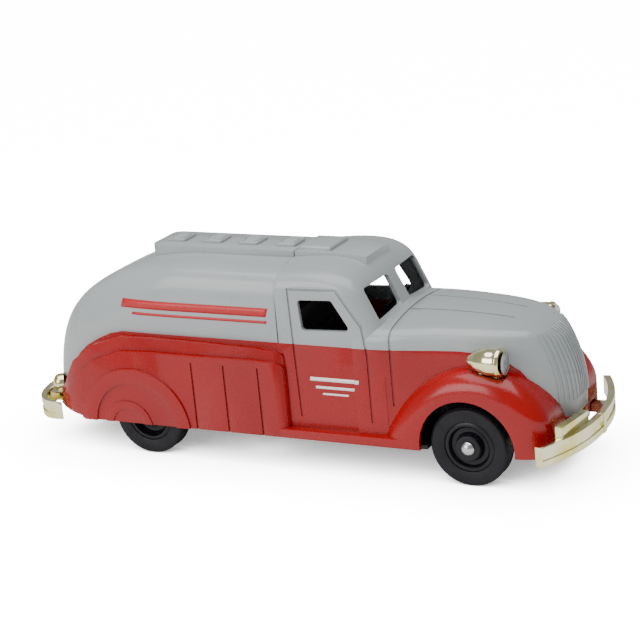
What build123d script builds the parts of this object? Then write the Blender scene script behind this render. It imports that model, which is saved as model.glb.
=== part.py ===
"""Toy tanker truck: die-cast shells on a flat base, four turning wheels, plated trim.

Millimetres. +X is forward, +Y is the truck's left, +Z is up, the ground is z = 0 and the
middle of the overall length is x = 0.
"""
import os
from math import cos, sin, radians, pi

from build123d import *

# ---------------------------------------------------------------- driving sizes
wall = 1.6                  # thickness of the cast shells
seam_x = 1.2                # joint between the tank shell and the cab shell
tank_length = 104.7         # joint to the middle of the tail
cab_length = 102.4          # joint to the middle of the nose
tank_half_width = 27.3
skirt_half_width = 31.3
roof_z = 73.0               # middle of the tank roof, without the catwalk
belt_z = 46.3               # joint between the grey shells and the red body
sill_z = 12.2               # lower edge of the red body
wheel_base = 127.2
tyre_radius = 14.0
tyre_width = 7.6
tyre_outer_y = 29.3         # outer face of every tyre
disc_radius = 9.0
axle_radius = 1.5
bore_clearance = 0.06       # radial, wheel disc on its axle
bumper_half_width = 36.2
bumper_height = 7.0
catwalk_half_width = 9.5
slot_width = 3.0            # money slot in the tail
trap_radius = 13.0          # round lid in the base
screw_radius = 1.45

# ---------------------------------------------------------------- derived places
tail_x = seam_x - tank_length
nose_x = seam_x + cab_length
front_axle_x = 0.563 * wheel_base
rear_axle_x = front_axle_x - wheel_base
axle_z = tyre_radius
base_z = 11.6               # underside of the base
base_top = base_z + 1.6
crown_axis_z = -52.0        # the roofs are turned about this low line, which crowns them
rear_post_x = 0.735 * tail_x
front_post_x = seam_x + 0.49 * cab_length
trap_x = -14.0


# ---------------------------------------------------------------- helpers
def stretch_front(x):
    """Place along the cab, drawn for a 102.4 mm long cab."""
    return seam_x + (x - 1.2) * cab_length / 102.4


def stretch_rear(x):
    """Place along the tank, drawn for a 104.7 mm long tank."""
    return seam_x + (x - 1.2) * tank_length / 104.7


def stretch_up(z):
    """Height above the belt line, drawn for a 26.7 mm tall upper body."""
    return z if z < belt_z else belt_z + (z - 46.3) * (roof_z - belt_z) / 26.7


def inset_curve(points, depth):
    """The points of a left-to-right curve moved down and in by depth, square to the curve."""
    moved = []
    for i, (x, z) in enumerate(points):
        x0, z0 = points[max(i - 1, 0)]
        x1, z1 = points[min(i + 1, len(points) - 1)]
        length = ((x1 - x0) ** 2 + (z1 - z0) ** 2) ** 0.5
        moved.append((x + depth * (z1 - z0) / length, z - depth * (x1 - x0) / length))
    return moved


def crowned(points, low, half_angle=36):
    """Everything under a side-view curve, with its top crowned from side to side."""
    (x0, z0), (x1, z1) = points[0], points[-1]
    outline = Spline(*points) + Polyline((x1, z1), (x1, low), (x0, low), (x0, z0))
    axis = Axis((0, 0, crown_axis_z), (1, 0, 0))
    face = make_face(Plane.XZ * outline)
    return revolve(face.rotate(axis, -half_angle), axis, 2 * half_angle)


def side_plate(points, y0, y1, smooth=False):
    """A plate with a side-view outline, between two values of y."""
    if smooth:
        outline = Spline(*points) + Line(points[-1], points[0])
    else:
        outline = Polyline(*points, close=True)
    return extrude(Plane(origin=(0, y0, 0), x_dir=(1, 0, 0), z_dir=(0, -1, 0)) * make_face(outline), amount=y0 - y1)


def plan_plate(points, z0, z1):
    """A plate with a plan outline, between two heights."""
    return extrude(Pos(0, 0, z0) * make_face(Polyline(*points, close=True)), amount=z1 - z0)


def box_between(x, y, z):
    return Pos((x[0] + x[1]) / 2, (y[0] + y[1]) / 2, (z[0] + z[1]) / 2) * Box(x[1] - x[0], y[1] - y[0], z[1] - z[0])


def cross_rod(x, z, radius, y0, y1):
    """A round bar lying across the truck."""
    return Pos(x, (y0 + y1) / 2, z) * Rot(90, 0, 0) * Cylinder(radius, abs(y1 - y0))


def both_sides(shape):
    return shape + mirror(shape, about=Plane.XZ)


# ---------------------------------------------------------------- outer forms
def tail_section(angle, reach, half_width, box, crown):
    """Cross-section of the tank on a plane that fans back about a line across the truck.

    box runs from 2 (elliptical) upwards (squarer shoulders)."""
    side = []
    steps = 13
    for i in range(steps + 1):
        t = pi / 2 * i / steps
        y = half_width * sin(t) ** (2 / box)
        r = reach * cos(t) ** (2 / (0.6 * box + 1.6)) - crown * (y / half_width) ** 2
        side.append((y, max(r, 2.0) if i < steps else 2.0))
    full = side[::-1] + [(-y, r) for y, r in side[1:]]
    outline = Spline(*full) + Line(full[-1], full[0])
    pivot = Plane(origin=(stretch_rear(-40), 0, 22), x_dir=(0, 1, 0),
                  z_dir=(sin(radians(angle)), 0, -cos(radians(angle))))
    return pivot * make_face(outline)


def tank_form(inset, half_width=tank_half_width):
    """Tank with rounded tail: fanned sections behind x = -40, straight ahead of it."""
    up = stretch_up(72.6) - 22
    back = stretch_rear(-40) - tail_x
    reaches = [(90, up), (105, up * 1.006), (120, up * 0.55 + back * 0.388),
               (135, up * 0.40 + back * 0.562), (150, back * 0.962), (165, back * 1.0), (180, back * 1.0),
               (195, back * 1.03)]
    boxes = [10.0, 8.4, 6.4, 4.6, 3.4, 3.2, 3.6, 4.2]
    sections = []
    for i, ((angle, reach), box) in enumerate(zip(reaches, boxes)):
        crown = 2.4 * (1.0 - min(1.0, i / 5.0))
        sections.append(tail_section(angle, reach - inset, half_width - inset, box, crown))
    tail = loft(sections)
    front = extrude(sections[0], amount=seam_x - stretch_rear(-40))
    low = box_between((stretch_rear(-40) - 2.2, seam_x), (-half_width + inset, half_width - inset), (0, 30))
    return tail + front + low


def nose_section(z, front, half, shoulder, inset):
    """Plan section of the cab, bonnet and nose at one height."""
    back = seam_x
    side = [(back, tank_half_width), (stretch_front(24), tank_half_width + 0.5), (stretch_front(44), 26.9),
            (stretch_front(62), 0.5 * (26.9 + half) + 0.4), (stretch_front(shoulder), half),
            (stretch_front(shoulder + 0.55 * (front - shoulder)), 0.74 * half),
            (stretch_front(front - 1.3), 0.34 * half), (stretch_front(front), 0)]
    side = [(x - inset if i > 3 else x, max(y - inset, 0) if i < 7 else 0) for i, (x, y) in enumerate(side)]
    full = side + [(x, -y) for x, y in side[-2::-1]]
    return Pos(0, 0, z) * make_face(Spline(*full) + Line(full[-1], full[0]))


def nose_form(inset):
    """Cab sides, bonnet sides and rounded nose, stacked up from plan sections."""
    levels = [(8, 103.4, 19.0, 88), (20, 103.5, 19.0, 88), (32, 103.2, 19.6, 87),
              (44, 99.8, 20.0, 84), (56, 93.0, 19.0, 78), (68, 85.0, 17.6, 72)]
    return loft([nose_section(z, front, half, shoulder, inset) for z, front, half, shoulder in levels])


BONNET = [(30, 55.2), (44, 55.7), (58, 55.7), (72, 55.0), (84, 53.6), (91, 51.7), (97, 48.2), (103, 42.3)]
ROOF = [(1.2, 73.1), (10, 73.9), (18, 74.1), (25, 73.2), (30, 70.9), (33, 67.8), (35, 64.2), (39.3, 55.4),
        (42, 49.6)]


def placed(points):
    return [(stretch_front(x), stretch_up(z)) for x, z in points]


def bonnet_form(inset):
    """Bonnet and nose with rounded shoulders."""
    body = nose_form(inset) & crowned(inset_curve(placed(BONNET), inset), 6)
    body = body.solids()[0]
    edges = [e for e in body.edges() if e.bounding_box().size.X > 20 and e.bounding_box().min.Z > 36]
    return fillet(edges, 5.0 - inset)


def greenhouse_form(inset):
    """Cab roof and windscreen with rounded shoulders."""
    half = tank_half_width + 0.1 - inset
    body = crowned(inset_curve(placed(ROOF), inset), 6)
    body = body & box_between((seam_x, stretch_front(41.5)), (-half, half), (6, 90))
    body = body.solids()[0]
    edges = [e for e in body.edges() if e.bounding_box().size.X > 20 and e.bounding_box().min.Z > 36]
    return fillet(edges, 6.5 - inset)


def cab_form(inset):
    return greenhouse_form(inset) + bonnet_form(inset)


def belt_region(top):
    """Everything above (top) or below the side-view line where grey meets red."""
    line = [(-110, 23.5), (-97, 23.8), (-93.5, 25.5), (-90, 30), (-86.5, 35), (-82, 38.8), (-76, 42.1),
            (-70, 44.8), (-64, 46.2), (-56, belt_z),
            (68, belt_z), (75.5, 45.6), (83, 43.2), (88, 39.4), (92.5, 33), (96, 26), (98, 20.6), (120, 20.6)]
    line = [(stretch_rear(x) if x < 0 else stretch_front(x), z) for x, z in line]
    end = 100 if top else 0
    return side_plate(line + [(line[-1][0], end), (line[0][0], end)], -40, 40)


def skirt_plan(half, inset):
    """Plan outline of the flared lower body, round at the tail, with rounded front corners."""
    half = half - inset
    bow = []
    for a in range(0, 181, 12):
        side, back = abs(cos(radians(a))) ** (2 / 2.6), sin(radians(a)) ** (2 / 2.6)
        bow.append((tail_x + 26 - (26 - inset) * back, half * side * (1 if a < 90 else -1)))
    front_x = seam_x + 2.4 - inset
    plan = make_face(Spline(*bow) + Polyline(bow[-1], (front_x, -half), (front_x, half), bow[0]))
    return fillet(plan.vertices().sort_by(Axis.X)[-2:], 4.0 - inset)


SKIRT_TOP = [(-106, 6), (-99, 12.5), (-94, 18.5), (-88.9, 24.5), (-76.1, 35.5), (-63.7, 40.0), (-50, 40.6), (-30, 40.4),
             (-8, 40.6), (0, 40.2), (2.6, 38.8), (3.6, 36.5)]
LEDGE_TOP = [(-108, 8), (-99, 17), (-92.3, 24.2), (-86.1, 34.0), (-76.1, 41.0), (-63.8, 45.0), (-50, 45.3), (-30, 44.9),
             (-8, 44.3), (0, 43.6), (2.4, 42.4), (3.6, 40.4)]


def skirt_form(half, top, inset):
    """Flared lower body behind the cab, under one of its two stepped mouldings."""
    top = [(stretch_rear(x), z) for x, z in inset_curve(top, inset)]
    body = extrude(skirt_plan(half, inset), amount=60)
    low = [(top[0][0] - 4, -5), (top[-1][0] + 4, -5), (top[-1][0] + 4, top[-1][1])]
    return body & side_plate([(top[0][0] - 4, 6)] + top + low[::-1], -40, 40)


FENDER = [(36, 8), (40, 17), (45.5, 25.5), (52, 32.5), (60, 38.0), (70, 41.0), (80, 40.8), (88, 37.8), (94.5, 32.4),
          (98.8, 25.5), (100.2, 17.5), (99.6, 8)]


def fender_form(inset):
    """Both front fenders."""
    outline = inset_curve([(stretch_front(x), z) for x, z in FENDER], inset)
    half = skirt_half_width - inset
    bar = side_plate(outline, -half, -8, smooth=True).solids()[0]
    edges = [e for e in bar.edges() if e.center().Y < -half + 0.5 and e.bounding_box().max.Z > 20]
    bar = fillet(edges, 8.0 - inset)
    plan = [(30, half), (84, half), (91, 0.98 * half), (96.4, 0.92 * half), (99.3, 0.8 * half), (100.4, 0.5 * half)]
    plan = [(stretch_front(x), y) for x, y in plan]
    clip = make_face(Spline(*plan[1:]) + Polyline(plan[-1], (plan[-1][0], 0), (plan[0][0], 0), plan[0], plan[1]))
    return both_sides(bar & mirror(extrude(clip, amount=60), about=Plane.XZ))


# ---------------------------------------------------------------- red lower body
tank_outer = tank_form(0)
tank_inner = tank_form(wall)
cab_outer = cab_form(0)
cab_inner = cab_form(wall)
ledge_half_width = skirt_half_width - 1.5
skirt_inner = skirt_form(skirt_half_width, SKIRT_TOP, wall) + skirt_form(ledge_half_width, LEDGE_TOP, wall)
fender_inner = fender_form(wall)
slab_x = (-130, 130)

sill_front = stretch_front(49)
board = box_between((seam_x - 1, sill_front), (-skirt_half_width, skirt_half_width), (sill_z, 15.4))
lower = (tank_outer & belt_region(False)) + (cab_outer & belt_region(False)) + fender_form(0)
lower = lower + skirt_form(skirt_half_width, SKIRT_TOP, 0) + skirt_form(ledge_half_width, LEDGE_TOP, 0)
lower = lower + board
lower = lower - (cab_outer & belt_region(True)) - (tank_outer & belt_region(True))
lower = lower - box_between(slab_x, (-60, 60), (-20, sill_z))
inside = tank_inner + cab_inner + skirt_inner + fender_inner
inside = inside + box_between((seam_x - 6, sill_front - wall), (-skirt_half_width + wall, skirt_half_width - wall),
                              (0, 15.4 - wall))
inside = inside - box_between(slab_x, (-60, 60), (belt_z + 0.01, 90))
lower = lower - inside
arch = both_sides(cross_rod(front_axle_x, axle_z, 17.3, -40, -18))
tail_rise = side_plate([(-112, 0), (-83.5, 0), (-83.5, 13.0), (-95, 15.0), (-112, 17.0)], -60, 60)
lower = lower - arch - tail_rise
arm_y = (14.5, 19.0)
arm_z = (base_top, base_top + 3.2)
front_arm_x = (stretch_front(86), nose_x + 3.0)
rear_arm_x = (tail_x - 4.0, stretch_rear(-79))
front_arms = both_sides(box_between(front_arm_x, (-arm_y[1], -arm_y[0]), arm_z))
rear_arms = both_sides(box_between(rear_arm_x, (-arm_y[1], -arm_y[0]), arm_z))
arm_slots = both_sides(box_between((front_arm_x[0] - 1, front_arm_x[1] + 9), (-arm_y[1] - 0.4, -arm_y[0] + 0.4),
                                   (0, arm_z[1] + 0.4)))
rear_slots = both_sides(box_between((rear_arm_x[0] - 3, rear_arm_x[1] + 1), (-arm_y[1] - 0.4, -arm_y[0] + 0.4),
                                    (0, arm_z[1] + 0.4)))
lower = lower - arm_slots - rear_slots
groove_depth = 0.5
for x in (-33.4, -20.1, -6.2):
    cut = box_between((stretch_rear(x) - 0.4, stretch_rear(x) + 0.4),
                      (-40, -skirt_half_width + groove_depth), (sill_z, 37.6))
    lower = lower - both_sides(cut)
cover = both_sides(cross_rod(rear_axle_x - 3.6, 10.8, 22.9, -skirt_half_width - 0.8, -skirt_half_width + 0.3)
                   - cross_rod(rear_axle_x - 3.6, 10.8, 17.3, -40, 0))
cover = cover + both_sides(cross_rod(rear_axle_x - 6.9, 10.8, 10.0, -skirt_half_width - 0.5, -skirt_half_width + 0.3)
                           - cross_rod(rear_axle_x - 6.9, 10.8, 7.0, -40, 0))
cover = cover - box_between(slab_x, (-60, 60), (-20, sill_z))
lower = lower + cover
rear_opening = both_sides(cross_rod(rear_axle_x, axle_z, tyre_radius + 1.2, -skirt_half_width + wall - 0.01, -20))
lower = lower - rear_opening

# Lines of the doors, the cowl and the bonnet, cut to an even depth all over the cab.
line_half = 0.4
skin = cab_outer - cab_form(groove_depth)
door = [(8.0, 19.0), (7.2, 46.3), (6.7, 66.2), (25.4, 66.6), (33.9, 54.2), (35.3, 46.4), (35.6, 44), (35.6, 19.0)]
door = [(stretch_front(x), stretch_up(z)) for x, z in door]
ring = side_plate([(x - line_half if x < door[3][0] - 1 else x + line_half, z + line_half) for x, z in door], -40, 40)
ring = ring - side_plate([(x + line_half if x < door[3][0] - 1 else x - line_half, z - line_half) for x, z in door],
                         -40, 40)
ring = ring - box_between(slab_x, (-20, 20), (-10, 100))
ring = ring + box_between((stretch_front(44) - line_half, stretch_front(44) + line_half), (-40, 40), (26, 90))
hinge_line = [(stretch_front(44), 8.4), (stretch_front(82), 6.4), (stretch_front(82), 5.7), (stretch_front(44), 7.7)]
ring = ring + both_sides(plan_plate(hinge_line, 48, 90))
panel_lines = ring & skin
lower = lower - panel_lines
lamp_spot = Plane(origin=(tail_x + 6.0, -20, 21.4), x_dir=(0, 0, 1), z_dir=(-0.823, -0.568, 0))
lamp_seat = lamp_spot * (Pos(0, 0, 5.0) * Cylinder(3.95, 10))
lower = lower - both_sides(lamp_seat)

lamp_x = stretch_front(84.6)
lamp_y = 25.6
pod = [(0, 0), (0.4, 3.2), (0.9, 4.9), (1.9, 5.2), (2.6, 4.9), (6, 4.7), (10, 3.4), (13.0, 1.6), (14.0, 0)]
pod_seat = [(-1, 0), (-1, 5.55), (3.0, 5.55), (6.2, 5.05), (10.2, 3.75), (13.3, 1.95), (14.4, 0)]


def headlight_parts(outline, grow):
    shell = revolve(make_face(Polyline(*outline, close=True)), Axis.X, 360)
    shell = Pos(lamp_x + 0.6, lamp_y, 44.3) * Rot(0, 0, 180) * shell
    stalk = box_between((lamp_x - 8.5 - grow, lamp_x - 2.0 + grow), (lamp_y - 1.6 - grow, lamp_y + 1.6 + grow),
                        (37.0 - grow, 42))
    return shell + stalk


lamp_hollow = both_sides(headlight_parts(pod_seat, 0.35))
lower = (lower - lamp_hollow).solids().sort_by(SortBy.VOLUME)[-1]
export_step(lower, "parts/lower_body.step")

# ---------------------------------------------------------------- grey shells
post_radius = 3.5


def post(x, top):
    return Pos(x, 0, (base_top + top) / 2) * Cylinder(post_radius, top - base_top)


def post_bore(x):
    return Pos(x, 0, base_top + 6) * Cylinder(screw_radius + 0.05, 13)


tank_top = stretch_up(74.6)
tank = tank_outer & belt_region(True)
walk = box_between((stretch_rear(-58.5), seam_x), (-catwalk_half_width, catwalk_half_width), (60, tank_top))
walk = fillet(walk.edges().filter_by(Axis.Z).sort_by(Axis.X)[:2], 3.5)
tank = tank + walk - tank_inner
pitch = (stretch_rear(-4.95) - stretch_rear(-50.5)) / 3
hatch_x = [stretch_rear(-50.5) + i * pitch for i in range(4)]
for x in hatch_x:
    lid = box_between((x - 3.9, x + 3.9), (-4.6, 4.6), (tank_top - 0.5, tank_top + 1.1))
    lid = fillet(lid.edges().filter_by(Axis.Z), 1.2)
    tank = tank + chamfer(lid.faces().sort_by(Axis.Z)[-1].edges(), 0.3)
tank = tank + (post(rear_post_x, 90) & (tank_outer + box_between(slab_x, (-9, 9), (0, 40))))
tank = tank - post_bore(rear_post_x)
tank = tank - box_between((-140, rear_post_x - 5.5), (-slot_width / 2, slot_width / 2), (39, 60.5))
tank = tank - box_between((seam_x - 0.25, seam_x + 1), (-60, 60), (0, 100))
export_step(tank, "parts/tank_shell.step")

walk_front = stretch_front(29.5)
cab = cab_outer & belt_region(True)
walk = side_plate([(seam_x, 60), (walk_front, 60), (walk_front, tank_top - 0.9), (walk_front - 5, tank_top),
                   (seam_x, tank_top)], -catwalk_half_width, catwalk_half_width)
cab = cab + walk - cab_inner
roof_hatch = box_between((stretch_front(2.6), stretch_front(14.6)), (-7.5, 7.5), (tank_top - 0.5, tank_top + 1.4))
cab = cab + chamfer(roof_hatch.faces().sort_by(Axis.Z)[-1].edges(), 0.5)


def window(points):
    return [(stretch_front(x), stretch_up(z)) for x, z in points]


glass = make_face(Polyline(*window([(10.1, 62.5), (23.3, 63.0), (30.0, 52.2), (11.0, 51.5)]), close=True))
glass = fillet(glass.vertices(), 1.3)
side_window = extrude(Plane(origin=(0, -40, 0), x_dir=(1, 0, 0), z_dir=(0, -1, 0)) * glass, amount=-80)
cab = cab - side_window
pane = make_face(Polyline(*[(y, stretch_up(z)) for y, z in [(3.2, 66.2), (21.4, 66.0), (21.4, 54.2), (3.6, 55.6)]],
                          close=True))
pane = fillet(pane.vertices(), 1.4)
screen = extrude(Plane(origin=(stretch_front(27), 0, 0), x_dir=(0, 1, 0), z_dir=(1, 0, 0)) * pane,
                 amount=stretch_front(40) - stretch_front(27))
cab = cab - both_sides(screen)
cab = cab + (post(front_post_x, 90) & (cab_outer + box_between(slab_x, (-9, 9), (0, 40)))) - post_bore(front_post_x)
cab = cab - box_between((seam_x - 1, seam_x + 0.25), (-60, 60), (0, 100))
cab = cab - panel_lines - lamp_hollow
export_step(cab, "parts/cab_shell.step")

# ---------------------------------------------------------------- base, lid and screws
edge = skirt_half_width - wall - 0.5
half_base = [(stretch_rear(-84), 19), (stretch_rear(-80), edge - 5), (stretch_rear(-74), edge), (stretch_front(49), edge),
             (stretch_front(56), edge - 1), (stretch_front(56), 20.6), (stretch_front(86), 20.6),
             (stretch_front(91), 17), (stretch_front(97), 9)]
base = plan_plate(half_base + [(x, -y) for x, y in half_base[::-1]], base_z, base_top)
step_z = (base_top + 3.2, base_top + 4.4)
base = base + plan_plate([(stretch_rear(-83), 19), (stretch_rear(-92), 19), (stretch_rear(-97), 13), (stretch_rear(-97), -13),
                          (stretch_rear(-92), -19), (stretch_rear(-83), -19)], step_z[0] + 0.4, step_z[1] + 0.4)
base = base + box_between((stretch_rear(-84), stretch_rear(-82.6)), (-14.0, 14.0), (base_z, step_z[1] + 0.4))
for x in (front_axle_x, rear_axle_x):
    base = base + box_between((x - 3.2, x + 3.2), (-20.2, 20.2), (base_z, axle_z + 2.8))
    base = base - box_between((x - tyre_radius - 1.2, x + tyre_radius + 1.2), (20.6, 60), (0, 60))
    base = base - box_between((x - tyre_radius - 1.2, x + tyre_radius + 1.2), (-60, -20.6), (0, 60))
    base = base - cross_rod(x, axle_z, axle_radius, -30, 30)
base = base - Pos(trap_x, 0, base_z) * Cylinder(trap_radius + 0.35, 10)
base = base - box_between((trap_x - 4, trap_x + 4), (-trap_radius - 3.4, trap_radius + 3.4), (0, 30))
for x in (front_post_x, rear_post_x):
    base = base - Pos(x, 0, base_z) * Cylinder(screw_radius + 0.2, 10) - Pos(x, 0, base_z) * Cylinder(3.1, 2.0)
export_step(base, "parts/chassis_base.step")

lid = Pos(trap_x, 0, (base_z + base_top) / 2) * Cylinder(trap_radius, base_top - base_z)
lug = box_between((trap_x - trap_radius - 2.6, trap_x + trap_radius + 2.6), (-3.4, 3.4), (base_top + 0.35, base_top + 1.6))
neck = Pos(trap_x, 0, base_top + 0.8) * Cylinder(trap_radius - 1.5, 1.6)
lid = lid + neck + lug
lid = lid - box_between((trap_x - 8, trap_x + 8), (-1.2, 1.2), (base_z - 1, base_z + 0.9))
export_step(lid, "parts/coin_trap.step")


def screw(x):
    head = Pos(x, 0, base_z + 0.5) * Cylinder(2.9, 1.0)
    shank = Pos(x, 0, base_z + 5.5) * Cylinder(screw_radius, 11)
    return head + shank - box_between((x - 2.3, x + 2.3), (-0.4, 0.4), (base_z - 1, base_z + 0.5))


export_step(Compound(children=[screw(front_post_x).solids()[0], screw(rear_post_x).solids()[0]]),
            "parts/base_screws.step")

# ---------------------------------------------------------------- running gear
hub_face = {"front": tyre_outer_y + 0.5, "rear": tyre_outer_y - 2.0}
head_gap = 0.35
for end, x in (("front", front_axle_x), ("rear", rear_axle_x)):
    face = hub_face[end]
    head = Pos(0, 0, 0) * Sphere(2.9) & box_between((-4, 4), (0, 1.3), (-4, 4)).moved(Location((0, 1.6, 0)))
    rod = cross_rod(x, axle_z, axle_radius, -face - head_gap - 0.2, face + head_gap + 0.2)
    cap = Pos(x, face + head_gap - 1.6, axle_z) * head
    axle = rod + cap + mirror(cap, about=Plane.XZ)
    export_step(axle, f"parts/{end}_axle.step")
    inner_y = tyre_outer_y - tyre_width
    for side, sign in (("left", 1), ("right", -1)):
        ring = [(disc_radius, inner_y + 0.5), (tyre_radius - 0.5, inner_y), (tyre_radius, inner_y + 0.6),
                (tyre_radius, tyre_outer_y - 0.8), (tyre_radius - 0.7, tyre_outer_y),
                (tyre_radius - 3.2, tyre_outer_y - 0.2), (disc_radius, tyre_outer_y - 0.7)]
        if end == "front":
            web = [(disc_radius, tyre_outer_y - 0.9), (7.6, tyre_outer_y - 0.5), (6.8, tyre_outer_y - 2.2),
                   (5.2, tyre_outer_y - 2.2), (4.4, face)]
        else:
            web = [(disc_radius, tyre_outer_y - 0.9), (7.6, tyre_outer_y - 0.5), (6.4, tyre_outer_y - 3.4),
                   (4.4, tyre_outer_y - 3.4), (4.0, face)]
        bore = axle_radius + bore_clearance
        disc = [(bore, inner_y + 1.0), (disc_radius, inner_y + 1.0)] + web + [(bore, face)]
        for name, outline in (("tyre", ring), ("disc", disc)):
            turned = revolve(make_face(Polyline(*outline, close=True)), Axis.Y, 360)
            turned = Pos(x, 0, axle_z) * turned
            if sign < 0:
                turned = mirror(turned, about=Plane.XZ)
            export_step(turned, f"parts/{end}_{side}_{name}.step")

# ---------------------------------------------------------------- plated trim
def bumper_bar(plan_points, depth, z0, z1, groove, outward):
    """Bowed bar with a shallow band along its outer face."""
    inner = [(x - outward * depth, y * 0.985) for x, y in plan_points]
    face = make_face(Spline(*plan_points) + Line(plan_points[-1], inner[-1]) + Spline(*inner[::-1])
                     + Line(inner[0], plan_points[0]))
    bar = extrude(Pos(0, 0, z0) * face, amount=z1 - z0)
    back = [(x - outward * groove, y) for x, y in plan_points]
    far = outward * 30
    band = make_face(Spline(*back) + Polyline(back[-1], (back[-1][0] + far, back[-1][1] * 1.1),
                                              (back[0][0] + far, back[0][1] * 1.1), back[0]))
    third = (z1 - z0) / 3
    return bar - extrude(Pos(0, 0, z0 + third) * band, amount=third)


bow = [-1.0, -0.9, -0.7, -0.45, -0.2, 0, 0.2, 0.45, 0.7, 0.9, 1.0]
front_line = [(nose_x + 6.6 - 9.6 * abs(k) ** 2.2, bumper_half_width * k) for k in bow]
front_bar = bumper_bar(front_line, 2.6, 12.4, 12.4 + bumper_height, 0.5, 1)
rib = box_between((nose_x + 4.6, nose_x + 6.9), (-1.4, 1.4), (12.2, 12.6 + bumper_height))
plate = box_between((nose_x - 0.4, nose_x + 2.4), (-26, -8), (15.5, 23.0)).rotate(Axis((nose_x + 1, -17, 0), (0, 0, 1)), -10)
front_bumper = front_bar + rib + plate + front_arms
export_step(front_bumper, "parts/front_bumper.step")

rear_half = [(-94.6, 31.2), (-99.6, 30.4), (-104.2, 26.8), (-107.8, 20.2), (-109.8, 10), (-110.2, 0)]
rear_line = [(tail_x - 7.0 + (x + 110.2), y) for x, y in rear_half]
rear_line = rear_line + [(x, -y) for x, y in rear_line[-2::-1]]
rear_bar = bumper_bar(rear_line, 2.4, 10.6, 10.6 + bumper_height, 0.5, -1)
rear_bumper = rear_bar + rear_arms
export_step(rear_bumper, "parts/rear_bumper.step")

dome = [(0, 0), (3.6, 0), (3.6, 1.4), (3.35, 2.5), (2.6, 3.4), (1.4, 4.0), (0, 4.2)]
lamp = revolve(make_face(Plane.XZ * Polyline(*dome, close=True)), Axis.Z, 360)
lamp = lamp_spot * (Pos(0, 0, 0.35) * lamp)
export_step(Compound(children=[lamp.solids()[0], mirror(lamp, about=Plane.XZ).solids()[0]]), "parts/tail_lamps.step")

headlight = headlight_parts(pod, 0).solids().sort_by(SortBy.VOLUME)[-1]
export_step(headlight, "parts/headlight_left.step")
export_step(mirror(headlight, about=Plane.XZ), "parts/headlight_right.step")

# ---------------------------------------------------------------- cab inside
tub = box_between((stretch_front(8), stretch_front(41)), (-24.4, 24.4), (20, 21.4))
tub = tub + box_between((stretch_front(8), stretch_front(9.4)), (-24.4, 24.4), (21, 58))
tub = tub + box_between((stretch_front(9), stretch_front(21)), (-23, 23), (21, 34))
tub = tub + box_between((stretch_front(9), stretch_front(13.5)), (-23, 23), (30, 49))
tub = tub + box_between((stretch_front(38), stretch_front(41)), (-24, 24), (21, 51))
for x in (14, 37):
    for y in (-21, 21):
        tub = tub + Pos(stretch_front(x), y, (base_top + 21) / 2) * Cylinder(1.8, 21 - base_top)
export_step(tub, "parts/cab_interior.step")

tilt = 50
wheel = Torus(6.6, 0.75) + Cylinder(1.5, 1.2) + Box(13.2, 1.1, 0.9) + Pos(0, -3.3, 0) * Box(1.1, 6.6, 0.9)
column = Pos(0, 0, -5.0) * Cylinder(0.8, 10)
steering = Pos(stretch_front(29.2), 12.5, 51.5) * Rot(0, -tilt, 0) * (wheel + column)
steering = steering - box_between((stretch_front(38), stretch_front(60)), (-60, 60), (0, 90))
export_step(steering, "parts/steering_wheel.step")
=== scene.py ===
import math

import bmesh
import bpy
from mathutils import Matrix, Vector
from mathutils.bvhtree import BVHTree


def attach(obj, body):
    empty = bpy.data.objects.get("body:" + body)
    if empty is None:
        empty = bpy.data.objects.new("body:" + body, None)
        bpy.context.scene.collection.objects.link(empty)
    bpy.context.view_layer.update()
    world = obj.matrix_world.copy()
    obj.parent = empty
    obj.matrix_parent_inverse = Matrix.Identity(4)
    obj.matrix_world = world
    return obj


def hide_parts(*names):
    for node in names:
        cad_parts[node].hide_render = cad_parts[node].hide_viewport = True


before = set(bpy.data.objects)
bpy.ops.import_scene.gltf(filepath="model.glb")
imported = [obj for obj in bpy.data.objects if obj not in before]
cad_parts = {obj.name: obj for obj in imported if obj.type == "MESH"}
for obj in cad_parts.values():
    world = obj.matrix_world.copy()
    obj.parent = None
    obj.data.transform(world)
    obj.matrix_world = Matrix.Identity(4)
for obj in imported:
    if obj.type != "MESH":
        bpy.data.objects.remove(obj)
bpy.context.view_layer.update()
MM = 0.001


# ---------------------------------------------------------------- shader groups
def new_group(name, inputs, outputs):
    """An empty shader group with named sockets: (kind, name, default)."""
    tree = bpy.data.node_groups.new(name, "ShaderNodeTree")
    for kind, label, default in inputs:
        socket = tree.interface.new_socket(name=label, in_out="INPUT", socket_type=kind)
        socket.default_value = default
    for kind, label in outputs:
        tree.interface.new_socket(name=label, in_out="OUTPUT", socket_type=kind)
    source = tree.nodes.new("NodeGroupInput")
    sink = tree.nodes.new("NodeGroupOutput")
    return tree, source.outputs, sink.inputs


def noise(tree, scale, detail=3.0, roughness=0.5, distortion=0.0):
    """3-D noise on object coordinates, in metres; scale may be a socket."""
    coords = tree.nodes.new("ShaderNodeTexCoord")
    node = tree.nodes.new("ShaderNodeTexNoise")
    tree.links.new(coords.outputs["Object"], node.inputs["Vector"])
    if hasattr(scale, "links"):
        tree.links.new(scale, node.inputs["Scale"])
    else:
        node.inputs["Scale"].default_value = scale
    node.inputs["Detail"].default_value = detail
    node.inputs["Roughness"].default_value = roughness
    node.inputs["Distortion"].default_value = distortion
    return node


def ramp(tree, value, low, high, to_low=0.0, to_high=1.0):
    """Map Range from low..high to to_low..to_high, clamped."""
    node = tree.nodes.new("ShaderNodeMapRange")
    node.clamp = True
    tree.links.new(value, node.inputs["Value"])
    for label, amount in (("From Min", low), ("From Max", high), ("To Min", to_low), ("To Max", to_high)):
        if hasattr(amount, "links"):
            tree.links.new(amount, node.inputs[label])
        else:
            node.inputs[label].default_value = amount
    return node.outputs["Result"]


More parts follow.
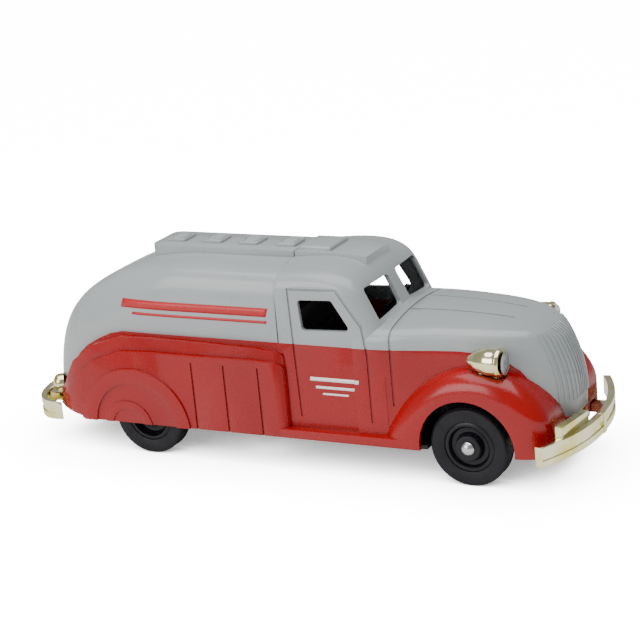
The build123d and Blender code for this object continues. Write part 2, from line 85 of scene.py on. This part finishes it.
def maths(tree, operation, a, b):
    node = tree.nodes.new("ShaderNodeMath")
    node.operation = operation
    node.use_clamp = operation in ("MULTIPLY", "ADD")
    for socket, value in zip(node.inputs, (a, b)):
        if hasattr(value, "links"):
            tree.links.new(value, socket)
        else:
            socket.default_value = value
    return node.outputs[0]


def mix_colour(tree, factor, a, b):
    node = tree.nodes.new("ShaderNodeMix")
    node.data_type = "RGBA"
    for label, value in (("Factor_Float", factor), ("A_Color", a), ("B_Color", b)):
        socket = next(s for s in node.inputs if s.identifier == label)
        if hasattr(value, "links"):
            tree.links.new(value, socket)
        else:
            socket.default_value = value
    return next(s for s in node.outputs if s.identifier == "Result_Color")


def make_handling():
    """Handling: soft smudges and fine dust, as a mask and a roughness."""
    tree, given, out = new_group(
        "handling_marks",
        [("NodeSocketFloat", "Smudge Size", 90.0), ("NodeSocketFloat", "Roughness", 0.2),
         ("NodeSocketFloat", "Variation", 0.08), ("NodeSocketFloat", "Dust", 0.2)],
        [("NodeSocketFloat", "Roughness"), ("NodeSocketFloat", "Dust")])
    smudges = noise(tree, given["Smudge Size"], detail=5.0, roughness=0.62, distortion=0.6)
    soft = ramp(tree, smudges.outputs["Fac"], 0.38, 0.68)
    spread = maths(tree, "MULTIPLY", soft, given["Variation"])
    tree.links.new(maths(tree, "ADD", given["Roughness"], spread), out["Roughness"])
    specks = noise(tree, 2600.0, detail=2.0, roughness=0.6)
    grains = ramp(tree, specks.outputs["Fac"], 0.66, 0.74)
    geometry = tree.nodes.new("ShaderNodeNewGeometry")
    up = tree.nodes.new("ShaderNodeSeparateXYZ")
    tree.links.new(geometry.outputs["Normal"], up.inputs["Vector"])
    lying = ramp(tree, up.outputs["Z"], 0.1, 0.9)
    settled = maths(tree, "MULTIPLY", grains, lying)
    tree.links.new(maths(tree, "MULTIPLY", settled, given["Dust"]), out["Dust"])
    return tree


def make_wear_and_shade():
    """Edge wear: a broken mask along convex edges; and painted shade in hollows, where the ambient occlusion
    is low.
    """
    tree, given, out = new_group(
        "edge_wear_and_shade",
        [("NodeSocketFloat", "Reach", 0.0004), ("NodeSocketFloat", "Break Up", 420.0),
         ("NodeSocketFloat", "Amount", 1.0)],
        [("NodeSocketFloat", "Worn"), ("NodeSocketFloat", "Hollow Shade")])
    geometry = tree.nodes.new("ShaderNodeNewGeometry")
    eased = tree.nodes.new("ShaderNodeBevel")
    eased.samples = 4
    tree.links.new(given["Reach"], eased.inputs["Radius"])
    turn = tree.nodes.new("ShaderNodeVectorMath")
    turn.operation = "DOT_PRODUCT"
    tree.links.new(eased.outputs["Normal"], turn.inputs[0])
    tree.links.new(geometry.outputs["Normal"], turn.inputs[1])
    patches = noise(tree, given["Break Up"], detail=4.0, roughness=0.7)
    edge = ramp(tree, turn.outputs["Value"], 0.97, 0.86)
    open_air = tree.nodes.new("ShaderNodeAmbientOcclusion")
    open_air.samples = 6
    open_air.inputs["Distance"].default_value = 0.0022
    convex = ramp(tree, open_air.outputs["AO"], 0.75, 0.95)
    broken = maths(tree, "MULTIPLY", maths(tree, "MULTIPLY", edge, convex),
                   ramp(tree, patches.outputs["Fac"], 0.50, 0.62))
    tree.links.new(maths(tree, "MULTIPLY", broken, given["Amount"]), out["Worn"])
    # Hollow Shade is a painted-shade mask: it rises in hollows where the ambient occlusion is low.
    tree.links.new(ramp(tree, open_air.outputs["AO"], 0.78, 0.30), out["Hollow Shade"])
    return tree


def make_peel():
    """Sprayed paint: shallow orange peel over a slower wave, as a height."""
    tree, given, out = new_group(
        "paint_skin", [("NodeSocketFloat", "Peel Size", 900.0), ("NodeSocketFloat", "Wave Size", 70.0)],
        [("NodeSocketFloat", "Height")])
    fine = noise(tree, given["Peel Size"], detail=1.5)
    slow = noise(tree, given["Wave Size"], detail=1.0)
    tree.links.new(maths(tree, "ADD", maths(tree, "MULTIPLY", fine.outputs["Fac"], 0.25),
                         maths(tree, "MULTIPLY", slow.outputs["Fac"], 0.6)), out["Height"])
    return tree


HANDLING = make_handling()
WEAR_AND_SHADE = make_wear_and_shade()
PEEL = make_peel()


def place(tree, group, **values):
    node = tree.nodes.new("ShaderNodeGroup")
    node.node_tree = group
    for label, value in values.items():
        node.inputs[label.replace("_", " ")].default_value = value
    return node


def new_material(name, **fixed):
    """A material with its Principled shader; fixed values go straight on the sockets."""
    material = bpy.data.materials.new(name)
    material.use_nodes = True
    tree = material.node_tree
    shader = next(n for n in tree.nodes if n.type == "BSDF_PRINCIPLED")
    for label, value in fixed.items():
        shader.inputs[label.replace("_", " ")].default_value = value
    return material, tree, shader


def add_bump(tree, shader, height, strength, distance):
    bump = tree.nodes.new("ShaderNodeBump")
    bump.inputs["Strength"].default_value = strength
    bump.inputs["Distance"].default_value = distance
    tree.links.new(height, bump.inputs["Height"])
    tree.links.new(bump.outputs["Normal"], shader.inputs["Normal"])


def paint(name, colour, deep, primer, roughness, coat):
    """Sprayed enamel on cast metal: colour drift, painted shade in hollows, dust, smudges, orange peel,
    rubbed edges.
    """
    material, tree, shader = new_material(name, Coat_Weight=coat, Coat_Roughness=0.06, IOR=1.5,
                                          Specular_IOR_Level=0.35)
    drift = noise(tree, 26.0, detail=3.0)
    base = mix_colour(tree, ramp(tree, drift.outputs["Fac"], 0.35, 0.65), deep, colour)
    wear = place(tree, WEAR_AND_SHADE, Reach=0.0003, Break_Up=380.0, Amount=0.35)
    marks = place(tree, HANDLING, Smudge_Size=60.0, Roughness=roughness, Variation=0.10, Dust=0.12)
    # Painted shade: in hollows the enamel darkens towards a quarter of its deep tone.
    hollow_shade = maths(tree, "MULTIPLY", wear.outputs["Hollow Shade"], 0.45)
    shaded = mix_colour(tree, hollow_shade, base, tuple(0.25 * c for c in deep[:3]) + (1,))
    worn = mix_colour(tree, wear.outputs["Worn"], shaded, primer)
    dusty = mix_colour(tree, marks.outputs["Dust"], worn, (0.55, 0.54, 0.52, 1))
    tree.links.new(dusty, shader.inputs["Base Color"])
    tree.links.new(marks.outputs["Roughness"], shader.inputs["Roughness"])
    skin = place(tree, PEEL, Peel_Size=800.0, Wave_Size=60.0)
    add_bump(tree, shader, skin.outputs["Height"], 0.10, 0.0004)
    return material


def plastic(name, colour, lighter, roughness, grain):
    """Moulded plastic with a fine grain and rubbed, greyer edges."""
    material, tree, shader = new_material(name, Specular_IOR_Level=0.3)
    drift = noise(tree, 160.0, detail=4.0)
    base = mix_colour(tree, ramp(tree, drift.outputs["Fac"], 0.35, 0.7), colour, lighter)
    wear = place(tree, WEAR_AND_SHADE, Reach=0.0004, Break_Up=700.0, Amount=0.4)
    marks = place(tree, HANDLING, Smudge_Size=240.0, Roughness=roughness, Variation=0.16, Dust=0.25)
    worn = mix_colour(tree, wear.outputs["Worn"], base, tuple(min(1, 3.2 * c) for c in lighter[:3]) + (1,))
    dusty = mix_colour(tree, marks.outputs["Dust"], worn, (0.4, 0.4, 0.4, 1))
    tree.links.new(dusty, shader.inputs["Base Color"])
    tree.links.new(marks.outputs["Roughness"], shader.inputs["Roughness"])
    fine = noise(tree, grain, detail=3.0, roughness=0.7)
    add_bump(tree, shader, fine.outputs["Fac"], 0.25, 0.00015)
    return material


def plated(name, colour, shade, roughness):
    """Bright plating with a warm tint that deepens in patches, painted shade in hollows, smudged and slightly
    pitted.
    """
    material, tree, shader = new_material(name, Metallic=1.0)
    drift = noise(tree, 110.0, detail=3.0)
    base = mix_colour(tree, ramp(tree, drift.outputs["Fac"], 0.40, 0.66), colour, shade)
    wear = place(tree, WEAR_AND_SHADE, Reach=0.0004, Break_Up=900.0, Amount=0.3)
    # Painted shade: in hollows the plating darkens towards a deep brown gold.
    hollow_shade = maths(tree, "MULTIPLY", wear.outputs["Hollow Shade"], 0.55)
    hollow_shaded = mix_colour(tree, hollow_shade, base, (0.30, 0.24, 0.06, 1))
    tree.links.new(hollow_shaded, shader.inputs["Base Color"])
    marks = place(tree, HANDLING, Smudge_Size=160.0, Roughness=roughness, Variation=0.12, Dust=0.1)
    tree.links.new(marks.outputs["Roughness"], shader.inputs["Roughness"])
    pits = noise(tree, 1500.0, detail=2.0)
    add_bump(tree, shader, pits.outputs["Fac"], 0.08, 0.0001)
    return material


def printed(name, colour, dry):
    """Printed ink, slightly thin in places."""
    material, tree, shader = new_material(name, Specular_IOR_Level=0.4)
    thin = noise(tree, 900.0, detail=4.0, roughness=0.7)
    ink = mix_colour(tree, ramp(tree, thin.outputs["Fac"], 0.55, 0.75), colour, dry)
    tree.links.new(ink, shader.inputs["Base Color"])
    marks = place(tree, HANDLING, Smudge_Size=160.0, Roughness=0.3, Variation=0.1, Dust=0.1)
    tree.links.new(marks.outputs["Roughness"], shader.inputs["Roughness"])
    add_bump(tree, shader, thin.outputs["Fac"], 0.05, 0.00005)
    return material


GREY = paint("grey_enamel", colour=(0.330, 0.352, 0.355, 1), deep=(0.300, 0.325, 0.330, 1),
             primer=(0.45, 0.46, 0.45, 1), roughness=0.27, coat=0.30)
RED = paint("red_enamel", colour=(0.300, 0.0002, 0.0006, 1), deep=(0.245, 0.0001, 0.0004, 1),
            primer=(0.36, 0.015, 0.015, 1), roughness=0.22, coat=0.16)
BLACK = plastic("black_base_plastic", (0.012, 0.012, 0.014, 1), (0.022, 0.021, 0.024, 1), 0.42, 2200.0)
TYRE = plastic("soft_tyre_plastic", (0.0022, 0.0014, 0.0036, 1), (0.0045, 0.0032, 0.0068, 1), 0.48, 1800.0)
DISC = plastic("wheel_disc_plastic", (0.0022, 0.0014, 0.0036, 1), (0.0045, 0.0032, 0.0068, 1), 0.30, 2600.0)
CABIN = plastic("cabin_plastic", (0.010, 0.010, 0.011, 1), (0.017, 0.017, 0.019, 1), 0.38, 2000.0)
GOLD = plated("champagne_plating", (0.84, 0.82, 0.55, 1), (0.74, 0.64, 0.22, 1), 0.09)
STEEL = plated("bright_steel", (0.62, 0.63, 0.64, 1), (0.50, 0.50, 0.50, 1), 0.24)
INK = printed("red_ink", (0.42, 0.012, 0.014, 1), (0.40, 0.06, 0.06, 1))
PALE_INK = printed("white_ink", (0.80, 0.78, 0.74, 1), (0.70, 0.45, 0.43, 1))


# ---------------------------------------------------------------- mesh helpers
def add_object(name, mesh, material, body):
    obj = bpy.data.objects.new(name, mesh)
    bpy.context.scene.collection.objects.link(obj)
    mesh.materials.clear()
    mesh.materials.append(material)
    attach(obj, body)
    return obj


def smooth_by_angle(mesh, degrees):
    """Smooth shading, with edges sharper than the angle kept crisp."""
    limit = math.radians(degrees)
    bm = bmesh.new()
    bm.from_mesh(mesh)
    for face in bm.faces:
        face.smooth = True
    for edge in bm.edges:
        edge.smooth = len(edge.link_faces) == 2 and edge.calc_face_angle(0) < limit
    bm.to_mesh(mesh)
    bm.free()


def finish_node(node, material, body, angle=28, bevel=0.0):
    """The CAD node's own shape as one welded, smooth piece with eased edges."""
    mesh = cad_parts[node].data.copy()
    mesh.name = node + "_skin"
    bm = bmesh.new()
    bm.from_mesh(mesh)
    bmesh.ops.remove_doubles(bm, verts=bm.verts, dist=2e-6)
    bmesh.ops.dissolve_degenerate(bm, edges=bm.edges, dist=2e-6)
    bm.to_mesh(mesh)
    bm.free()
    if mesh.has_custom_normals:
        with_custom = mesh.attributes.get("custom_normal")
        if with_custom:
            mesh.attributes.remove(with_custom)
    obj = add_object(node + "_skin", mesh, material, body)
    if bevel:
        mod = obj.modifiers.new("eased_edges", "BEVEL")
        mod.width = bevel
        mod.segments = 2
        mod.limit_method = "ANGLE"
        mod.angle_limit = math.radians(angle)
        mod.harden_normals = False
        graph = bpy.context.evaluated_depsgraph_get()
        done = bpy.data.meshes.new_from_object(obj.evaluated_get(graph))
        obj.modifiers.clear()
        obj.data = done
    smooth_by_angle(obj.data, angle)
    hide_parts(node)
    return obj


# Each CAD node, its finish, its slot, its body and how far its edges are eased.
SKINS = [
    ("lower_body", RED, "red_paint", "body", 0.00018),
    ("tank_shell", GREY, "grey_paint", "body", 0.00018),
    ("cab_shell", GREY, "grey_paint", "body", 0.00018),
    ("chassis_base", BLACK, "black_plastic", "body", 0.0002),
    ("coin_trap", BLACK, "black_plastic", "coin_trap", 0.0002),
    ("base_screws", STEEL, "steel", "body", 0.0001),
    ("front_axle", STEEL, "steel", "body", 0.0),
    ("rear_axle", STEEL, "steel", "body", 0.0),
    ("front_bumper", GOLD, "gold_plate", "body", 0.00045),
    ("rear_bumper", GOLD, "gold_plate", "body", 0.00045),
    ("tail_lamps", GOLD, "gold_plate", "body", 0.0),
    ("headlight_left", GOLD, "gold_plate", "body", 0.0002),
    ("headlight_right", GOLD, "gold_plate", "body", 0.0002),
    ("cab_interior", CABIN, "black_plastic", "body", 0.0004),
    ("steering_wheel", CABIN, "black_plastic", "body", 0.0),
]
for corner in ("front_left", "front_right", "rear_left", "rear_right"):
    SKINS.append((corner + "_tyre", TYRE, "tyre_plastic", corner + "_wheel", 0.0003))
    SKINS.append((corner + "_disc", DISC, "wheel_plastic", corner + "_wheel", 0.0003))
skins = {}
for node, material, slot, body, bevel in SKINS:
    skins[node] = finish_node(node, material, body, bevel=bevel)


# ---------------------------------------------------------------- what lies on the shells
def tree_of(*names):
    """A ray-casting tree over some finished pieces."""
    verts, faces = [], []
    for name in names:
        mesh = skins[name].data
        start = len(verts)
        verts += [v.co.copy() for v in mesh.vertices]
        faces += [[start + i for i in p.vertices] for p in mesh.polygons]
    return BVHTree.FromPolygons(verts, faces)


def hit(tree, start, direction):
    place_hit, normal, _, _ = tree.ray_cast(Vector(start), Vector(direction).normalized())
    return (place_hit, normal) if place_hit is not None else None


def wrapped_patch(name, tree, outline, rows, side, lift, material):
    """A thin printed patch laid on a side of the truck: outline(s, t) gives x and z."""
    bm = bmesh.new()
    grid = []
    columns = 40
    for i in range(columns + 1):
        line = []
        for j in range(rows + 1):
            x, z = outline(i / columns, j / rows)
            found = hit(tree, (x, side * 0.06, z), (0, -side, 0))
            point = found[0] + found[1] * lift if found else Vector((x, side * 0.03, z))
            line.append(bm.verts.new(point))
        grid.append(line)
    for i in range(columns):
        for j in range(rows):
            corners = [grid[i][j], grid[i + 1][j], grid[i + 1][j + 1], grid[i][j + 1]]
            bm.faces.new(corners if side < 0 else corners[::-1])
    mesh = bpy.data.meshes.new(name)
    bm.to_mesh(mesh)
    bm.free()
    for polygon in mesh.polygons:
        polygon.use_smooth = True
    obj = add_object(name, mesh, material, "body")
    thick = obj.modifiers.new("ink", "SOLIDIFY")
    thick.thickness = 0.00004
    thick.offset = 0.0
    return obj


grey_tree = tree_of("tank_shell", "cab_shell")
red_tree = tree_of("lower_body")


def bar(x0, x1, z0, z1, slant):
    """A slanted bar as an outline for wrapped_patch, in millimetres."""
    return lambda s, t: (MM * (x0 + (x1 - x0) * s + slant * t), MM * (z0 + (z1 - z0) * t))


SIDES = ((-1, "right"), (1, "left"))
INK_LIFT = 0.00004
WIDE_BAND = bar(-64, -3, 55.4, 58.6, 1.0)
THIN_BAND = bar(-59, -3, 53.0, 54.0, 0.3)
DOOR_BARS = (bar(12.5, 31.5, 33.2, 34.6, 0.2), bar(14.5, 29.5, 30.4, 31.4, 0.2), bar(17, 27, 28.2, 28.9, 0.2))

for side, word in SIDES:
    wrapped_patch(f"tank_band_wide_{word}", grey_tree, WIDE_BAND, 2, side, INK_LIFT, INK)
    wrapped_patch(f"tank_band_thin_{word}", grey_tree, THIN_BAND, 1, side, INK_LIFT, INK)
    for count, outline in enumerate(DOOR_BARS):
        wrapped_patch(f"door_bar_{count}_{word}", red_tree, outline, 1, side, INK_LIFT, PALE_INK)


# ---------------------------------------------------------------- what repeats
class NodeGeometry:
    """A small Geometry Nodes tree with named inputs, run once into a plain mesh."""

    def __init__(self, name, inputs):
        self.tree = bpy.data.node_groups.new(name, "GeometryNodeTree")
        self.tree.interface.new_socket(name="Geometry", in_out="OUTPUT", socket_type="NodeSocketGeometry")
        self.defaults = {}
        for kind, label, value in inputs:
            socket = self.tree.interface.new_socket(name=label, in_out="INPUT", socket_type=kind)
            socket.default_value = value
            self.defaults[label] = socket.identifier
        self.given = self.tree.nodes.new("NodeGroupInput").outputs
        self.sink = self.tree.nodes.new("NodeGroupOutput").inputs

    def add(self, kind, links=None, **values):
        node = self.tree.nodes.new(kind)
        for label, value in values.items():
            setattr(node, label, value)
        for key, source in (links or {}).items():
            socket = node.inputs[key]
            if hasattr(source, "links"):
                self.tree.links.new(source, socket)
            else:
                socket.default_value = source
        return node

    def end(self, geometry, material):
        solid = self.add("GeometryNodeRealizeInstances", {"Geometry": geometry})
        coated = self.add("GeometryNodeSetMaterial", {"Geometry": solid.outputs[0], "Material": material})
        self.tree.links.new(coated.outputs[0], self.sink["Geometry"])

    def run(self, name, material, body, slot, angle=35, **values):
        carrier = bpy.data.objects.new(name, bpy.data.meshes.new(name))
        bpy.context.scene.collection.objects.link(carrier)
        mod = carrier.modifiers.new("made", "NODES")
        mod.node_group = self.tree
        for label, value in values.items():
            mod[self.defaults[label.replace("_", " ")]] = value
        graph = bpy.context.evaluated_depsgraph_get()
        mesh = bpy.data.meshes.new_from_object(carrier.evaluated_get(graph))
        carrier.modifiers.clear()
        bpy.data.objects.remove(carrier)
        mesh.materials.clear()
        smooth_by_angle(mesh, angle)
        return add_object(name, mesh, material, body)


def tread_tree():
    """Lugs set round the crown of a tyre, slightly uneven from the mould."""
    made = NodeGeometry("tyre_lugs", [
        ("NodeSocketInt", "Count", 56), ("NodeSocketFloat", "Radius", 0.01370),
        ("NodeSocketVector", "Lug", (0.0008, 0.0022, 0.0007)),
        ("NodeSocketVector", "Centre", (0, 0, 0)), ("NodeSocketInt", "Seed", 7)])
    ring = made.add("GeometryNodeMeshCircle", {"Vertices": made.given["Count"],
                                               "Radius": made.given["Radius"]})
    lug = made.add("GeometryNodeMeshCube", {"Size": made.given["Lug"]})
    where = made.add("GeometryNodeInputPosition")
    facing = made.add("FunctionNodeAlignEulerToVector", {"Vector": where.outputs[0]}, axis="X")
    uneven = made.add("FunctionNodeRandomValue", {"Seed": made.given["Seed"]}, data_type="FLOAT")
    uneven.inputs[2].default_value, uneven.inputs[3].default_value = 0.94, 1.05
    lugs = made.add("GeometryNodeInstanceOnPoints", {
        "Points": ring.outputs["Mesh"], "Instance": lug.outputs["Mesh"], "Rotation": facing.outputs[0],
        "Scale": uneven.outputs[1]})
    turned = made.add("GeometryNodeTransform", {"Geometry": lugs.outputs[0], "Rotation": (math.pi / 2, 0, 0),
                                                "Translation": made.given["Centre"]})
    made.end(turned.outputs[0], TYRE)
    return made


def grille_tree():
    """Upright ribs laid over the nose by casting each one back on to the shell."""
    made = NodeGeometry("grille_ribs", [
        ("NodeSocketInt", "Count", 15), ("NodeSocketFloat", "Pitch", 0.0017),
        ("NodeSocketFloat", "Low", 0.026), ("NodeSocketFloat", "High", 0.0500),
        ("NodeSocketFloat", "Thickness", 0.00048)])
    half = made.add("ShaderNodeMath", {0: made.given["Count"], 1: -0.5}, operation="MULTIPLY_ADD")
    half.inputs[2].default_value = 0.5
    first = made.add("ShaderNodeMath", {0: half.outputs[0], 1: made.given["Pitch"]}, operation="MULTIPLY")
    begin = made.add("ShaderNodeCombineXYZ", {"X": 0.14, "Y": first.outputs[0]})
    step = made.add("ShaderNodeCombineXYZ", {"Y": made.given["Pitch"]})
    row = made.add("GeometryNodeMeshLine", {"Count": made.given["Count"], "Start Location": begin.outputs[0],
                                            "Offset": step.outputs[0]}, mode="OFFSET")
    low = made.add("ShaderNodeCombineXYZ", {"Z": made.given["Low"]})
    high = made.add("ShaderNodeCombineXYZ", {"Z": made.given["High"]})
    line = made.add("GeometryNodeCurvePrimitiveLine", {"Start": low.outputs[0], "End": high.outputs[0]})
    ribs = made.add("GeometryNodeInstanceOnPoints", {"Points": row.outputs[0], "Instance": line.outputs[0]})
    loose = made.add("GeometryNodeRealizeInstances", {"Geometry": ribs.outputs[0]})
    fine = made.add("GeometryNodeResampleCurve", {"Curve": loose.outputs[0], "Count": 40})
    shell = made.add("GeometryNodeObjectInfo", {"Object": skins["cab_shell"]})
    cast = made.add("GeometryNodeRaycast", {"Target Geometry": shell.outputs["Geometry"],
                                            "Ray Direction": (-1, 0, 0), "Ray Length": 0.08})
    laid = made.add("GeometryNodeSetPosition", {
        "Geometry": fine.outputs[0], "Selection": cast.outputs["Is Hit"],
        "Position": cast.outputs["Hit Position"]})
    section = made.add("GeometryNodeCurvePrimitiveCircle", {"Resolution": 6,
                                                            "Radius": made.given["Thickness"]})
    bars = made.add("GeometryNodeCurveToMesh", {"Curve": laid.outputs[0], "Profile Curve": section.outputs[0],
                                                "Fill Caps": True})
    made.end(bars.outputs[0], GREY)
    return made


def hatch_tree():
    """Raised hoops on the filler lids, set out along the catwalk."""
    made = NodeGeometry("hatch_hoops", [
        ("NodeSocketInt", "Count", 4), ("NodeSocketVector", "First", (-0.0505, 0, 0.0757)),
        ("NodeSocketFloat", "Pitch", 0.01518), ("NodeSocketFloat", "Thickness", 0.00030)])
    step = made.add("ShaderNodeCombineXYZ", {"X": made.given["Pitch"]})
    row = made.add("GeometryNodeMeshLine", {
        "Count": made.given["Count"], "Start Location": made.given["First"],
        "Offset": step.outputs[0]}, mode="OFFSET")
    hoop = made.add("GeometryNodeCurvePrimitiveQuadrilateral", {"Width": 0.0062, "Height": 0.0066})
    eased = made.add("GeometryNodeFilletCurve", {"Curve": hoop.outputs[0], "Count": 6, "Radius": 0.0022},
                     mode="POLY")
    inner = made.add("GeometryNodeCurvePrimitiveLine", {"Start": (-0.0024, 0.0009, 0),
                                                        "End": (0.0024, 0.0009, 0)})
    outer = made.add("GeometryNodeCurvePrimitiveLine", {"Start": (-0.0024, -0.0009, 0),
                                                        "End": (0.0024, -0.0009, 0)})
    joined = made.add("GeometryNodeJoinGeometry")
    for piece in (eased, inner, outer):
        made.tree.links.new(piece.outputs[0], joined.inputs[0])
    section = made.add("GeometryNodeCurvePrimitiveCircle", {"Resolution": 8,
                                                            "Radius": made.given["Thickness"]})
    wire = made.add("GeometryNodeCurveToMesh", {
        "Curve": joined.outputs[0], "Profile Curve": section.outputs[0], "Fill Caps": True})
    hoops = made.add("GeometryNodeInstanceOnPoints", {"Points": row.outputs[0], "Instance": wire.outputs[0]})
    made.end(hoops.outputs[0], GREY)
    return made


FRONT_AXLE_X, REAR_AXLE_X, AXLE_Z = 71.61, -55.59, 14
TYRE_MIDDLE_Y = 25.5
LUG_ROW_OFFSET = 2.3

tread = tread_tree()
for corner, x in (("front_left", FRONT_AXLE_X), ("front_right", FRONT_AXLE_X),
                  ("rear_left", REAR_AXLE_X), ("rear_right", REAR_AXLE_X)):
    across = TYRE_MIDDLE_Y if corner.endswith("left") else -TYRE_MIDDLE_Y
    for row_name, shift in (("outer", LUG_ROW_OFFSET), ("inner", -LUG_ROW_OFFSET)):
        tread.run(f"{corner}_lugs_{row_name}", TYRE, corner + "_wheel", "tyre_plastic",
                  Centre=(x * MM, (across + shift) * MM, AXLE_Z * MM))
grille_tree().run("grille_ribs", GREY, "body", "grey_paint")
hatch_tree().run("hatch_hoops", GREY, "body", "grey_paint")


# ---------------------------------------------------------------- lamp faces
def lens(name, centre, radius, bulge, material):
    """A domed, ribbed glass set in the front of a lamp."""
    bm = bmesh.new()
    rings, steps = 10, 48
    rows = []
    for i in range(1, rings + 1):
        r = radius * i / rings
        rise = bulge * (1 - (i / rings) ** 2) + 0.00010 * math.cos(i * math.pi)
        rows.append([bm.verts.new((centre[0] + rise, centre[1] + r * math.cos(2 * math.pi * k / steps),
                                   centre[2] + r * math.sin(2 * math.pi * k / steps))) for k in range(steps)])
    middle = bm.verts.new((centre[0] + bulge, centre[1], centre[2]))
    for k in range(steps):
        bm.faces.new((middle, rows[0][k], rows[0][(k + 1) % steps]))
        for a, b in zip(rows, rows[1:]):
            bm.faces.new((a[k], b[k], b[(k + 1) % steps], a[(k + 1) % steps]))
    mesh = bpy.data.meshes.new(name)
    bm.to_mesh(mesh)
    bm.free()
    for polygon in mesh.polygons:
        polygon.use_smooth = True
    return add_object(name, mesh, material, "body")


LAMP_FACE = (85.3, 25.6, 44.3)
LENS_RADIUS, LENS_BULGE = 4.1, 0.5

for side, word in SIDES:
    centre = (LAMP_FACE[0] * MM, side * LAMP_FACE[1] * MM, LAMP_FACE[2] * MM)
    lens(f"headlight_lens_{word}", centre, LENS_RADIUS * MM, LENS_BULGE * MM, STEEL)

# ---------------------------------------------------------------- stage
bpy.ops.mesh.primitive_plane_add(size=6.0, location=(0, 0, 0))
floor = bpy.context.object
floor.name = "floor"
floor_material, floor_tree, floor_shader = new_material("paper_sweep", Roughness=0.9, Specular_IOR_Level=0.1)
paper = noise(floor_tree, 30.0)
paper_tone = mix_colour(floor_tree, paper.outputs["Fac"], (0.93, 0.93, 0.93, 1), (0.95, 0.95, 0.95, 1))
floor_tree.links.new(paper_tone, floor_shader.inputs["Base Color"])
seen = floor_tree.nodes.new("ShaderNodeLightPath")
floor_shader.inputs["Emission Color"].default_value = (1, 1, 1, 1)
# The sweep glows for the camera only, less so close under the truck, which draws a soft contact shadow.
near_by = floor_tree.nodes.new("ShaderNodeAmbientOcclusion")
near_by.samples = 16
near_by.inputs["Distance"].default_value = 0.035
glow = ramp(floor_tree, near_by.outputs["AO"], 0.15, 1.0, 0.4, 15.0)
lit = floor_tree.nodes.new("ShaderNodeMath")
lit.operation = "MULTIPLY"
floor_tree.links.new(glow, lit.inputs[0])
floor_tree.links.new(seen.outputs["Is Camera Ray"], lit.inputs[1])
floor_tree.links.new(lit.outputs[0], floor_shader.inputs["Emission Strength"])
floor.data.materials.append(floor_material)

world = bpy.data.worlds.new("studio")
bpy.context.scene.world = world
world.use_nodes = True
backdrop = world.node_tree.nodes["Background"]
backdrop.inputs["Color"].default_value = (1, 1, 1, 1)
looked_at = world.node_tree.nodes.new("ShaderNodeLightPath")
world.node_tree.links.new(ramp(world.node_tree, looked_at.outputs["Is Camera Ray"], 0.0, 1.0, 0.38, 16.0),
                          backdrop.inputs["Strength"])


def softbox(name, place_at, aim, size, power):
    data = bpy.data.lights.new(name, "AREA")
    data.shape = "RECTANGLE"
    data.size, data.size_y = size
    data.energy = power
    lamp = bpy.data.objects.new(name, data)
    bpy.context.scene.collection.objects.link(lamp)
    lamp.location = place_at
    lamp.rotation_euler = (Vector(aim) - Vector(place_at)).to_track_quat("-Z", "Y").to_euler()
    return lamp


softbox("overhead", (0.05, -0.10, 0.75), (0, 0, 0), (0.9, 0.7), 8.0)
softbox("front_left_box", (-0.35, -0.75, 0.40), (0, 0, 0.04), (0.6, 0.5), 5.0)

# ---------------------------------------------------------------- camera
AZIMUTH, ELEVATION, ROLL = map(math.radians, (27.978, 17.538, 5.342))
AIM = Vector((4.04 * MM, 0, 46.03 * MM))
DISTANCE = 676.95 * MM
LENS_MM = 105.02
back = Vector((math.sin(AZIMUTH) * math.cos(ELEVATION), -math.cos(AZIMUTH) * math.cos(ELEVATION),
               math.sin(ELEVATION)))
level = Vector((math.cos(AZIMUTH), math.sin(AZIMUTH), 0))
upright = back.cross(level)
right = math.cos(ROLL) * level - math.sin(ROLL) * upright
up = math.sin(ROLL) * level + math.cos(ROLL) * upright
camera_data = bpy.data.cameras.new("camera")
camera_data.sensor_width = 36.0
camera_data.lens = LENS_MM
camera = bpy.data.objects.new("camera", camera_data)
bpy.context.scene.collection.objects.link(camera)
spot = AIM + back * DISTANCE
camera.matrix_world = Matrix(((right.x, up.x, back.x, spot.x), (right.y, up.y, back.y, spot.y),
                              (right.z, up.z, back.z, spot.z), (0, 0, 0, 1)))
bpy.context.scene.camera = camera
